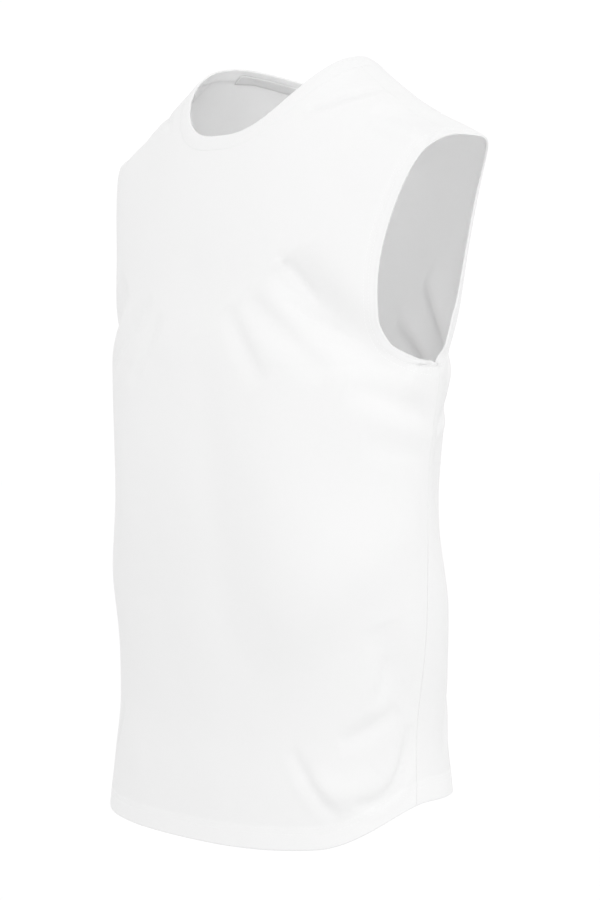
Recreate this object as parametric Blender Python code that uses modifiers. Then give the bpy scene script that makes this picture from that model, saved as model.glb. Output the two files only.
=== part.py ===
"""A sleeveless t-shirt filled out as if worn, hollow, with its neck, armholes and hem open.

Metres, +Z up, front towards -Y, the wearer's left towards +X. The origin is midway between the
two neck points, where the shoulders carry the shirt.

The shirt is one smooth form. Below the underarm it is a stack of rings, and above it the cloth
arches from the front over the shoulder ridge to the back. Each panel is a grid of rows and
columns on that form, pushed in or out along its folds, and gets its thickness from Solidify.
"""

import bpy
import numpy as np
from math import pi, radians

# Cut and sewing sizes
NECK_HALF = 0.0915          # middle to neck point, at the edge of the opening
FRONT_NECK_DROP = 0.070     # neck point down to the opening's lowest point
BACK_NECK_DROP = 0.014
NECK_ROUNDNESS_FRONT = 2.3  # 2 is an ellipse, more is squarer
NECK_ROUNDNESS_BACK = 1.9
BAND = 0.014                # neckband's finished width
SHOULDER_TIP_X = 0.2365
SHOULDER_TIP_Z = -0.080
SHOULDER_SPREAD = 0.2505    # half width that the form would have at the ridge without armholes
SHOULDER_SAG = 0.38         # dip of the ridge between its ends, 4 times as a share of its fall
RIGHT_LIFT = 0.0070         # the ridge stands higher on the wearer's right
RIGHT_LIFT_X = -0.130       # where it stands highest
RIGHT_LIFT_SPREAD = 0.075
UNDERARM_Z = -0.277
HEM_DEPTH = 0.021           # turned edge at the hem
CLOTH = 0.0012              # wall of single cloth
TURNED = 0.0020             # wall where an edge is turned under
BAND_WALL = 0.0020
SEAM_GAP = 0.00055          # outside, and about 0.3 mm inside, where the walls lean together

# Neck tape and label, inside the back neck
TAPE_ABOVE = 0.007          # above the neck seam
TAPE_BELOW = 0.003
TAPE_WALL = 0.0010
LABEL_UNDER_TAPE = 0.0015
LABEL_WIDTH = 0.034
LABEL_HEIGHT = 0.016
LABEL_WALL = 0.0010
LYING_GAP = 0.0006          # between an inner piece and the cloth that it lies on

# Form of the body. Depths are from the side line, which runs at y = 0.
BODY_COLUMNS = ("height", "half_width", "front_depth", "back_depth")
BODY = (
    (-0.715, 0.2100, 0.1185, 0.1190),
    (-0.660, 0.2015, 0.1145, 0.1005),
    (-0.600, 0.1940, 0.1105, 0.0990),
    (-0.500, 0.1995, 0.1145, 0.0890),
    (-0.400, 0.1950, 0.1180, 0.0890),
    (-0.277, 0.2055, 0.1125, 0.0930),
    (-0.190, 0.2055, 0.1050, 0.1150),
    (-0.090, 0.2055, 0.1055, 0.1520),
)
RING_POWER = 2.2            # 2 is an ellipse, more is squarer

# Shoulders: the ridge's y and the arches' squareness, at the neck and at the shoulder's end
RIDGE_Y_NECK = 0.0185
RIDGE_Y_TIP = 0.0015
ARCH_FRONT_NECK = 2.05
ARCH_FRONT_TIP = 2.60
ARCH_BACK_NECK = 1.90
ARCH_BACK_TIP = 4.40
SHOULDER_SEAM_LEAN = radians(5.5)   # the seam lies in front of the ridge

# Hem's height round the shirt. The bearing is 0 at the front middle and 90 on the wearer's left.
HEM_COLUMNS = ("bearing", "height")
HEM = (
    (-90, -0.666),
    (-50, -0.715),
    (0, -0.709),
    (45, -0.698),
    (90, -0.659),
    (135, -0.663),
    (180, -0.676),
    (225, -0.674),
    (270, -0.666),
)

# Side seam's bearing on the wearer's left by height. The other side mirrors it.
SIDE_COLUMNS = ("height", "bearing")
SIDE_SEAM = ((-0.700, 81.0), (-0.600, 86.5), (-0.277, 93.0))

# Armhole edge, by share of the way up from the underarm: bearing from its own panel's middle
ARMHOLE_COLUMNS = ("share", "front", "back")
ARMHOLE = (
    (0.00, 90.0, 90.0),
    (0.01, 80.0, 83.0),
    (0.04, 70.0, 76.5),
    (0.10, 64.0, 70.0),
    (0.25, 61.5, 66.5),
    (0.45, 62.5, 67.0),
    (0.70, 63.5, 69.0),
)
SEAM_BLEND = 0.04           # share of the armhole over which its edge leaves the side seam

# Largest folds, on the flat cloth of a panel: across is from its middle, + to the wearer's left
FOLD_COLUMNS = ("panel", "across", "height", "to_across", "to_height", "width", "depth")
FOLDS = (
    ("front", 0.095, -0.180, 0.220, -0.292, 0.020, -0.0060),
    ("front", 0.055, -0.215, 0.165, -0.295, 0.020, -0.0035),
    ("front", -0.210, -0.296, -0.095, -0.182, 0.020, -0.0055),
    ("front", -0.160, -0.300, -0.055, -0.220, 0.020, -0.0035),
    ("back", 0.090, -0.200, 0.200, -0.310, 0.020, -0.0045),
    ("back", -0.205, -0.300, -0.085, -0.195, 0.020, -0.0045),
    ("back", 0.205, -0.290, 0.185, -0.470, 0.030, -0.0080),
)
FOLD_FADE = 0.7             # how gently a fold's ends come in, from 0 for a sudden end

# Grid of each panel
COLUMNS_NECK = 7            # from the middle to the neck point
COLUMNS_SHOULDER = 7        # from the neck point to the side
ROWS_BODY = 19              # from the turned hem to the underarm
ROWS_YOKE = 17              # from the underarm to the shoulder
YOKE_CROWDING = 1.3         # rows lie closer together near the underarm
NECK_CROWDING = 1.7         # how late the rows part round the neck
TURN_CROWDING = 1.2         # columns lie closer together towards the neck point
SEAM_STRIP_SHARE = 0.012    # a narrow last row and column, so that the walls meet squarely at seams
BAND_STEPS = 3              # rows across the neckband
BAND_BULGE = 0.0012         # how far the band rounds out


def column_of(columns, table, name):
    """One named column of a table."""
    return np.array([row[columns.index(name)] for row in table], float)


def read_table(columns, table, name, at):
    """A column's value at the given places in the first column, on a smooth curve without overshoot."""
    x = column_of(columns, table, columns[0])
    y = column_of(columns, table, name)
    step = np.diff(x)
    rise = np.diff(y) / step
    slope = np.concatenate([rise[:1], np.zeros(len(x) - 2), rise[-1:]])
    same_way = rise[:-1] * rise[1:] > 0
    total = np.where(same_way, rise[:-1] + rise[1:], 1.0)
    slope[1:-1] = np.where(same_way, 2 * rise[:-1] * rise[1:] / total, 0.0)
    at = np.clip(at, x[0], x[-1])
    i = np.clip(np.searchsorted(x, at) - 1, 0, len(x) - 2)
    t = (at - x[i]) / step[i]
    start = (1 + 2 * t) * (1 - t) ** 2 * y[i] + t * (1 - t) ** 2 * step[i] * slope[i]
    end = t * t * (3 - 2 * t) * y[i + 1] + t * t * (t - 1) * step[i] * slope[i + 1]
    return start + end


def signed_power(value, power):
    return np.sign(value) * np.abs(value) ** power


def body_size(name, height):
    return read_table(BODY_COLUMNS, BODY, name, height)


def ring_point(bearing, height):
    """A point of the body below the underarm."""
    ahead = np.cos(bearing) > 0
    depth = np.where(ahead, body_size("front_depth", height), body_size("back_depth", height))
    x = body_size("half_width", height) * signed_power(np.sin(bearing), 2 / RING_POWER)
    y = -depth * signed_power(np.cos(bearing), 2 / RING_POWER)
    return np.stack(np.broadcast_arrays(x, y, height), -1)


def shoulder_share(x):
    """0 at the neck point, 1 at the shoulder's end, and below 0 inside the neck."""
    return (np.abs(x) - NECK_HALF) / (SHOULDER_TIP_X - NECK_HALF)


def ridge_height(x):
    """Height of the shoulder ridge, carried on flatter across the neck."""
    share = shoulder_share(x)
    inside = np.clip(1 - np.abs(x) / NECK_HALF, 0, 1)
    between = np.clip(share, 0, 1)
    sag = SHOULDER_SAG * between * (1 - between)
    higher = RIGHT_LIFT * np.exp(-(((x - RIGHT_LIFT_X) / RIGHT_LIFT_SPREAD) ** 2))
    return SHOULDER_TIP_Z * (share * np.where(share > 0, 1.0, 1 - 0.5 * inside) + sag) + higher


def yoke_point(bearing, climb):
    """A point above the underarm. Climb runs from 0 in front over the ridge at 90 degrees to 180 behind."""
    ahead = climb < pi / 2
    lift = np.abs(np.sin(climb))
    low_half = body_size("half_width", UNDERARM_Z)
    half = low_half + (SHOULDER_SPREAD - low_half) * lift**2
    x = half * signed_power(np.sin(bearing), 2 / RING_POWER)
    share = np.clip(shoulder_share(x), 0, 1)
    front_power = ARCH_FRONT_NECK + (ARCH_FRONT_TIP - ARCH_FRONT_NECK) * share**2
    back_power = ARCH_BACK_NECK + (ARCH_BACK_TIP - ARCH_BACK_NECK) * share**2
    power = np.where(ahead, front_power, back_power)
    z = UNDERARM_Z + (ridge_height(x) - UNDERARM_Z) * lift ** (2 / power)
    depth = np.where(ahead, -body_size("front_depth", z), body_size("back_depth", z))
    low_y = depth * np.abs(np.cos(bearing)) ** (2 / RING_POWER)
    ridge_y = RIDGE_Y_NECK + (RIDGE_Y_TIP - RIDGE_Y_NECK) * share
    y = ridge_y + (low_y - ridge_y) * np.abs(np.cos(climb)) ** (2 / power)
    return np.stack([x, y, z], -1)


def bearing_at_ridge(x):
    return np.arcsin((x / SHOULDER_SPREAD) ** (RING_POWER / 2))


TIP_BEARING = bearing_at_ridge(SHOULDER_TIP_X)
STEP = 0.01                 # radians, for measuring how fast the cloth runs along the form


def spread(share, edge_bearing):
    """Bearing of a column at a share of the way from the middle to the edge. Outer columns bend most."""
    side = pi / 2
    return share * (side - (side - edge_bearing) * np.abs(share))


def seam_climb(panel):
    """Climb of the shoulder seam, counted up from the panel's own side."""
    return pi / 2 - SHOULDER_SEAM_LEAN if panel == "front" else pi / 2 + SHOULDER_SEAM_LEAN


def share_at(x):
    """The column share that passes the shoulder seam at a distance from the middle."""
    bend = pi / 2 - TIP_BEARING
    return (pi / 2 - np.sqrt(pi * pi / 4 - 4 * bend * bearing_at_ridge(x))) / (2 * bend)


def neck_share(inset):
    """The column share of the neck point, inset from the opening's edge."""
    return share_at(NECK_HALF + inset)


def neck_middle_climb(panel, inset):
    """Climb of the neck's edge at the panel's middle, inset from the opening's edge."""
    front = panel == "front"
    drop = FRONT_NECK_DROP if front else BACK_NECK_DROP
    power = ARCH_FRONT_NECK if front else ARCH_BACK_NECK
    crown = ridge_height(0.0) - UNDERARM_Z
    edge = np.arcsin(((-drop - UNDERARM_Z) / crown) ** (power / 2))
    below, above = (yoke_point(0.0, turn if front else pi - turn) for turn in (edge - STEP, edge + STEP))
    cloth_per_radian = np.linalg.norm(above - below) / (2 * STEP)
    return edge - inset / cloth_per_radian


def neck_climb(panel, turn, inset):
    """Climb of the neck's edge. Turn is 0 at the panel's middle and 90 degrees at the neck point."""
    roundness = NECK_ROUNDNESS_FRONT if panel == "front" else NECK_ROUNDNESS_BACK
    top = seam_climb(panel)
    middle = neck_middle_climb(panel, inset)
    return top - (top - middle) * (1 - np.abs(np.sin(turn)) ** roundness) ** (1 / roundness)


def panel_point(panel, share, top_climb, up):
    """A yoke point at a share across the panel and a share up to that column's top.

    Columns that end at the neck fall behind the others only near their tops.
    """
    edge = edge_bearing(panel, up)
    seam = seam_climb(panel)
    climb = seam * up - (seam - top_climb) * up**NECK_CROWDING
    if panel == "back":
        climb = pi - climb
    return yoke_point(spread(share, edge), climb)


def edge_bearing(panel, up):
    """Bearing of the armhole's edge, which starts at the side seam and ends at the shoulder's end."""
    rows = ARMHOLE + ((1.0, np.degrees(TIP_BEARING), np.degrees(TIP_BEARING)),)
    edge = np.radians(read_table(ARMHOLE_COLUMNS, rows, panel, up))
    beyond = side_bearing(UNDERARM_Z) - pi / 2
    fade = np.clip(1 - up / SEAM_BLEND, 0, 1)
    return edge + (beyond if panel == "front" else -beyond) * fade


def side_bearing(height):
    return np.radians(read_table(SIDE_COLUMNS, SIDE_SEAM, "bearing", height))


def hem_height(bearing):
    degrees = np.degrees(bearing)
    degrees = np.where(degrees > 270, degrees - 360, degrees)
    return read_table(HEM_COLUMNS, HEM, "height", degrees)


def column_turns():
    """Turns round the neck of the inner columns, closer together towards the neck point."""
    even = np.linspace(0, 1, COLUMNS_NECK + 1)
    return pi / 2 * (1 - (1 - even) ** TURN_CROWDING)


def column_shares():
    """Shares across the panel of all its columns, from the wearer's right to the left."""
    at_neck = neck_share(BAND)
    inner = at_neck * np.sin(column_turns())
    outer = np.linspace(at_neck, 1, COLUMNS_SHOULDER + 1)[1:]
    half = np.concatenate([inner, outer[:-1], [1 - SEAM_STRIP_SHARE, 1]])
    return np.concatenate([-half[:0:-1], half])


def around(panel, share, height):
    """Bearing of a column of the body at a height."""
    side = side_bearing(height)
    return share * side if panel == "front" else pi - share * (pi - side)


def body_rows(panel, shares):
    """Rows from the hem to just below the underarm. The first three make the turned hem."""
    foot = hem_height(around(panel, shares, hem_height(side_bearing(-0.7))))
    rises = [0.0, HEM_DEPTH, HEM_DEPTH + 0.004]
    rows = []
    for rise in rises:
        height = foot + rise
        rows.append(ring_point(around(panel, shares, height), height))
    start = foot + rises[-1]
    for row in range(1, ROWS_BODY):
        height = start + (UNDERARM_Z - start) * row / ROWS_BODY
        rows.append(ring_point(around(panel, shares, height), height))
    return rows


def yoke_rows(panel, shares):
    """Rows from the underarm to the shoulder seams and the neck."""
    at_neck = neck_share(BAND)
    turn = np.arcsin(np.clip(np.abs(shares) / at_neck, 0, 1))
    inside = np.abs(shares) < at_neck
    top = np.where(inside, neck_climb(panel, turn, BAND), seam_climb(panel))
    ups = np.linspace(0, 1, ROWS_YOKE) ** YOKE_CROWDING
    ups = np.concatenate([ups[:-1], [1 - SEAM_STRIP_SHARE, 1]])
    return [panel_point(panel, shares, top, np.full_like(shares, up)) for up in ups]


def grid_normals(grid):
    """Unit normals of a grid's points, on the side from which its columns run right and rows up."""
    across = np.gradient(grid, axis=1)
    upward = np.gradient(grid, axis=0)
    normal = np.cross(across, upward)
    return normal / np.linalg.norm(normal, axis=-1, keepdims=True)


def distance_across(grid):
    """Distance of each point along its row from the middle column, + to the wearer's left."""
    steps = np.linalg.norm(np.diff(grid, axis=1), axis=-1)
    run = np.concatenate([np.zeros((len(grid), 1)), np.cumsum(steps, axis=1)], axis=1)
    return run - run[:, grid.shape[1] // 2, None]


def fold_push(panel, across, height):
    """How far each point moves out of the form for the panel's folds."""
    push = np.zeros_like(across)
    for row in FOLDS:
        fold = dict(zip(FOLD_COLUMNS, row))
        if fold["panel"] != panel:
            continue
        x, z = across - fold["across"], height - fold["height"]
        run, rise = fold["to_across"] - fold["across"], fold["to_height"] - fold["height"]
        length = np.hypot(run, rise)
        along = np.clip((x * run + z * rise) / length**2, 0, 1)
        beside = (x * rise - z * run) / length
        push += fold["depth"] * np.sin(pi * along) ** FOLD_FADE * np.exp(-((beside / fold["width"]) ** 2))
    return push


def open_seam(grid, rows, columns, towards_row, towards_column):
    """Moves edge points back from the seam by half its gap, towards the panel's own next points."""
    edge = grid[rows, columns]
    inward = grid[towards_row, towards_column] - edge
    inward /= np.linalg.norm(inward, axis=-1, keepdims=True)
    grid[rows, columns] = edge + inward * SEAM_GAP / 2


def panel_grid(panel):
    """The panel's outer points, row by row from the hem up, columns from the wearer's right to the left."""
    shares = column_shares()
    grid = np.array(body_rows(panel, shares) + yoke_rows(panel, shares))
    outward = grid_normals(grid) * (1 if panel == "front" else -1)
    push = fold_push(panel, distance_across(grid), grid[..., 2])
    grid += outward * push[..., None]
    side_rows = np.arange(len(grid) - ROWS_YOKE)
    open_seam(grid, side_rows, 0, side_rows, 1)
    open_seam(grid, side_rows, -1, side_rows, -2)
    top = np.arange(grid.shape[1])
    open_seam(grid, -1, top, -2, top)
    return grid


def band_grid():
    """The neckband's outer points: rings round the neck from its seam to the opening's edge."""
    turns = column_turns()
    rings = []
    for step in range(BAND_STEPS + 1):
        inset = (BAND - SEAM_GAP / 2) * (1 - step / BAND_STEPS)
        share = neck_share(inset) * np.sin(turns)
        ups = np.ones_like(share)
        halves = []
        for side in (1, -1):
            front = panel_point("front", side * share, neck_climb("front", turns, inset), ups)
            back = panel_point("back", side * share, neck_climb("back", turns, inset), ups)
            halves.append(np.concatenate([front, back[-2::-1]]))
        rings.append(np.concatenate([halves[0], halves[1][-2:0:-1]]))
    return np.array(rings)


def add_object(name, collection, vertices, faces):
    mesh = bpy.data.meshes.new(name)
    mesh.from_pydata([tuple(point) for point in vertices], [], faces)
    mesh.shade_smooth()
    thing = bpy.data.objects.new(name, mesh)
    collection.objects.link(thing)
    return thing


def grid_faces(rows, columns, closed=False, outward=True):
    """Quads of a grid, whose last column joins the first where it is closed."""
    faces = []
    for row in range(rows - 1):
        for column in range(columns if closed else columns - 1):
            after = (column + 1) % columns
            quad = [row * columns + column, row * columns + after]
            quad += [(row + 1) * columns + after, (row + 1) * columns + column]
            faces.append(quad if outward else quad[::-1])
    return faces


def add_wall(thing, thickness):
    """Gives an open sheet its thickness on the inner side."""
    wall = thing.modifiers.new("wall", "SOLIDIFY")
    wall.thickness = thickness
    wall.offset = -1
    return wall


def add_cloth(name, colour, roughness):
    """A soft, dull finish for one piece."""
    material = bpy.data.materials.new(name)
    material.use_nodes = True
    surface = material.node_tree.nodes["Principled BSDF"]
    surface.inputs["Base Color"].default_value = (*colour, 1)
    surface.inputs["Roughness"].default_value = roughness
    surface.inputs["Metallic"].default_value = 0
    return material


def turned_weights(grid_rows, grid_columns):
    """1 where the edge is turned under, at the hem and along the armholes, and 0 elsewhere."""
    weights = np.zeros((grid_rows, grid_columns))
    weights[:2] = 1
    armhole = slice(grid_rows - ROWS_YOKE - 1, None)
    weights[armhole, :2] = 1
    weights[armhole, -2:] = 1
    return weights.ravel()


def build_panel(panel, collection):
    """Front or back: one piece of cloth with a turned hem and turned armhole edges."""
    grid = panel_grid(panel)
    rows, columns = grid.shape[:2]
    faces = grid_faces(rows, columns, outward=panel == "front")
    thing = add_object(panel + "_panel", collection, grid.reshape(-1, 3), faces)
    turned = thing.vertex_groups.new(name="turned_edge")
    for index, weight in enumerate(turned_weights(rows, columns)):
        turned.add([index], float(weight), "REPLACE")
    wall = add_wall(thing, TURNED)
    wall.vertex_group = turned.name
    wall.thickness_vertex_group = CLOTH / TURNED
    thing.data.materials.append(add_cloth(panel + "_jersey", (0.88, 0.88, 0.885), 0.9))
    return thing


def build_neckband(collection):
    """A ring of doubled cloth round the neck, slightly rounded across."""
    grid = band_grid()
    outward = grid_normals(grid)
    bulge = BAND_BULGE * np.sin(pi * np.linspace(0, 1, len(grid)))
    grid = grid + outward * bulge[:, None, None]
    rows, columns = grid.shape[:2]
    thing = add_object("neckband", collection, grid.reshape(-1, 3), grid_faces(rows, columns, closed=True))
    add_wall(thing, BAND_WALL)
    thing.data.materials.append(add_cloth("band_rib", (0.87, 0.87, 0.875), 0.92))
    return thing


def tape_grid():
    """The tape's outer side: the back neck's form moved inwards, on the panel's columns, short of the shoulders."""
    turns = column_turns()[:-2]
    turns = np.concatenate([-turns[:0:-1], turns])
    rows = []
    for inset in (BAND + TAPE_BELOW, BAND, BAND - TAPE_ABOVE):
        share = neck_share(inset) * np.sin(turns)
        rows.append(panel_point("back", share, neck_climb("back", turns, inset), np.ones_like(share)))
    grid = np.array(rows)
    return grid + grid_normals(grid) * (BAND_WALL + LYING_GAP)


def build_neck_tape(collection):
    """A strip that covers the back neck seam inside, from shoulder to shoulder."""
    grid = tape_grid()
    thing = add_object("neck_tape", collection, grid.reshape(-1, 3), grid_faces(*grid.shape[:2], outward=False))
    add_wall(thing, TAPE_WALL)
    thing.data.materials.append(add_cloth("tape", (0.86, 0.86, 0.865), 0.9))
    return thing


def on_grid(grid, row, column):
    """A point of the grid between its rows and columns, on its flat facets."""
    low_row, low_column = int(row), int(column)
    up, right = row - low_row, column - low_column
    low = grid[low_row, low_column] * (1 - right) + grid[low_row, low_column + 1] * right
    high = grid[low_row + 1, low_column] * (1 - right) + grid[low_row + 1, low_column + 1] * right
    return low * (1 - up) + high * up


def build_neck_label(collection):
    """A small blank label inside the back panel's middle, just under the neck tape."""
    outer = panel_grid("back")
    inner = outer + grid_normals(outer) * (CLOTH + LYING_GAP)
    middle = inner.shape[1] // 2
    below = np.cumsum(np.linalg.norm(np.diff(inner[::-1, middle], axis=0), axis=-1))
    beside = np.linalg.norm(inner[-1, middle + 1] - inner[-1, middle])
    top = TAPE_BELOW + LABEL_UNDER_TAPE
    rows = [len(inner) - 1 - np.interp(drop, np.concatenate([[0], below]), np.arange(len(below) + 1))
            for drop in (top + LABEL_HEIGHT, top + LABEL_HEIGHT / 2, top)]
    columns = [middle + half * LABEL_WIDTH / 2 / beside for half in (-1, 0, 0.999)]
    grid = np.array([[on_grid(inner, row, column) for column in columns] for row in rows])
    thing = add_object("neck_label", collection, grid.reshape(-1, 3), grid_faces(*grid.shape[:2], outward=False))
    add_wall(thing, LABEL_WALL)
    thing.data.materials.append(add_cloth("label", (0.8, 0.8, 0.8), 0.6))
    return thing


def clear_scene():
    for thing in list(bpy.data.objects):
        bpy.data.objects.remove(thing, do_unlink=True)


def main():
    clear_scene()
    collection = bpy.data.collections.new("sleeveless_t_shirt")
    bpy.context.scene.collection.children.link(collection)
    build_panel("front", collection)
    build_panel("back", collection)
    build_neckband(collection)
    build_neck_tape(collection)
    build_neck_label(collection)


main()
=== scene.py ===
"""A white jersey sleeveless t-shirt, filled out and hollow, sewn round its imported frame.

Metres, +Z up, the front towards -Y, the wearer's left towards +X. The origin is midway between the
neck points. Each panel is a thin closed shell on the shirt's form: a fine grid that is pushed in and
out along its folds, rolled over at its edges and drawn in along its sewing.
"""

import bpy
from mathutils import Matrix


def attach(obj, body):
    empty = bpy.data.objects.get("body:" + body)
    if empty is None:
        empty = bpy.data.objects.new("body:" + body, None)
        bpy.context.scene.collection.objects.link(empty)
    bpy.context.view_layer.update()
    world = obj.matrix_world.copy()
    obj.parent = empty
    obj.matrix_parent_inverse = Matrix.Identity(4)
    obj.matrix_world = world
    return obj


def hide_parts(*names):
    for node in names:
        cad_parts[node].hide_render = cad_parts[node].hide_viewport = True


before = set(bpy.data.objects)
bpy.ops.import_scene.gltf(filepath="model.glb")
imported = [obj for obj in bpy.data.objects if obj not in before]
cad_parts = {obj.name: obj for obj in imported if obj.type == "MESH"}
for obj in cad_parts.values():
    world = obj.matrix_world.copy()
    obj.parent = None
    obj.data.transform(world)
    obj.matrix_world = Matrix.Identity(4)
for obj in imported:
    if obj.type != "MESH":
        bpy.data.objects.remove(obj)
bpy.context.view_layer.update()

from math import cos, pi, radians, sin

import bpy
import numpy as np
from bpy.props import FloatProperty, FloatVectorProperty, PointerProperty
from mathutils import Euler, Vector
from mathutils.bvhtree import BVHTree
from numpy.linalg import norm

bl_info = {
    "name": "Sleeveless T-Shirt",
    "version": (1, 0, 0),
    "blender": (4, 5, 0),
    "location": "3D View > Sidebar > T-Shirt",
    "description": "Sews a hollow sleeveless t-shirt of white jersey and lights it in a pale studio",
    "category": "Add Mesh",
}

# ---- the cut, as in the frame

NECK_HALF = 0.0915          # middle to neck point, at the edge of the opening
FRONT_NECK_DROP = 0.070
BACK_NECK_DROP = 0.014
NECK_ROUNDNESS = {"front": 2.3, "back": 1.9}
BAND = 0.014                # neckband's finished width
SHOULDER_TIP_X = 0.2365     # where the shoulder seam ends
SHOULDER_TIP_Z = -0.080
SHOULDER_SPREAD = 0.2505    # half width of the yoke at the ridge
SHOULDER_SAG = 0.38
RIGHT_LIFT = 0.0070         # how much higher the wearer's right shoulder is carried, and where
RIGHT_LIFT_X = -0.130
RIGHT_LIFT_SPREAD = 0.075
UNDERARM_Z = -0.277

# Sections of the body, in metres
BODY_COLUMNS = ("height", "half_width", "front_depth", "back_depth")
BODY = (
    (-0.715, 0.2100, 0.1185, 0.1190),
    (-0.660, 0.2015, 0.1145, 0.1005),
    (-0.600, 0.1940, 0.1105, 0.0990),
    (-0.500, 0.1995, 0.1145, 0.0890),
    (-0.400, 0.1950, 0.1180, 0.0890),
    (-0.277, 0.2055, 0.1125, 0.0930),
    (-0.190, 0.2055, 0.1050, 0.1150),
    (-0.090, 0.2055, 0.1055, 0.1520),
)
RING_POWER = 2.2            # 2 makes an ellipse, more a squarer ring
RIDGE_Y_NECK = 0.0185       # the shoulder ridge at the neck and at the tip
RIDGE_Y_TIP = 0.0015
# How square the yoke arches over the shoulder, at the neck and at the tip
ARCH_NECK = {"front": 2.05, "back": 1.90}
ARCH_TIP = {"front": 2.60, "back": 4.40}
SHOULDER_SEAM_LEAN = radians(5.5)

# Height of the hem's edge, by bearing in degrees: 0 in front, 90 on the wearer's left
HEM_COLUMNS = ("bearing", "height")
HEM = (
    (-90, -0.666),
    (-50, -0.715),
    (0, -0.709),
    (45, -0.698),
    (90, -0.659),
    (135, -0.663),
    (180, -0.676),
    (225, -0.674),
    (270, -0.666),
)
# Bearing of the side seam, in degrees, by height
SIDE_COLUMNS = ("height", "bearing")
SIDE_SEAM = ((-0.700, 81.0), (-0.600, 86.5), (-0.277, 93.0))
# Bearing of the armhole's edge, by share of the way from the underarm to the shoulder
ARMHOLE_COLUMNS = ("share", "front", "back")
ARMHOLE = (
    (0.00, 90.0, 90.0),
    (0.01, 80.0, 83.0),
    (0.04, 70.0, 76.5),
    (0.10, 64.0, 70.0),
    (0.25, 61.5, 66.5),
    (0.45, 62.5, 67.0),
    (0.70, 63.5, 69.0),
)
SEAM_BLEND = 0.04           # share of the armhole over which its edge leaves the side seam
NECK_CROWDING = 1.7         # how late the yoke's rows bend to the neck's edge
TURN_CROWDING = 1.2
SEAM_GAP = 0.00004          # between two sewn pieces, whose rounded edges meet
NEAR_HEM = -0.700           # level at which the side seam's bearing is read for the hem

# ---- walls and sewing

SHIFT_OUT = 0.0002          # the cloth lies this little outside the frame's wall
EDGE_ROLL = 0.45            # share of the wall that an edge rounds over
SEAM_ROLL = 0.0001          # how far the cloth dips into a sewn seam
SEAM_EASE = 0.018           # width over which the cloth beside a seam follows it
NECK_EASE = 0.010           # width over which folds die away towards the neckband
GROOVE_DEPTH = 0.00006      # how far a row of stitches draws the cloth in
GROOVE_WIDTH = 0.0008
ALLOWANCE = 0.0065          # overlocked seam allowance, folded to the back
ALLOWANCE_WALL = 0.0021
TURN_EASE = 0.0012          # width over which a doubled wall thins to a single one
LEAST_WALL = 0.0002         # wall that is left where a seam rolls in
FAR = 1.0                   # stands for no edge near
HEM_ROWS = (0.0192, 0.0144)       # stitch rows above the hem's edge
ARMHOLE_ROWS = (0.0125, 0.0080)   # stitch rows in from the armhole's edge
TAPE_ABOVE = 0.007          # the tape's width above and below the neckband's seam
TAPE_BELOW = 0.003
TAPE_WALL = 0.0008
TAPE_END_TURN = radians(70)
TAPE_ROWS = 8
TAPE_COLUMNS = 91
LABEL_UNDER_TAPE = 0.0015
LABEL_WIDTH = 0.034
LABEL_HEIGHT = 0.016
LABEL_WALL = 0.0006
LABEL_ROWS = 9
LABEL_COLUMNS = 17
LYING_GAP = 0.0004          # between the cloth and what lies on it
BAND_BULGE = 0.0004         # how far the band rises at its middle
ARMHOLE_PALENESS = 0.25     # how much paler the armhole's turned edge looks, as a share of the hem's

# ---- folds

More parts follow.
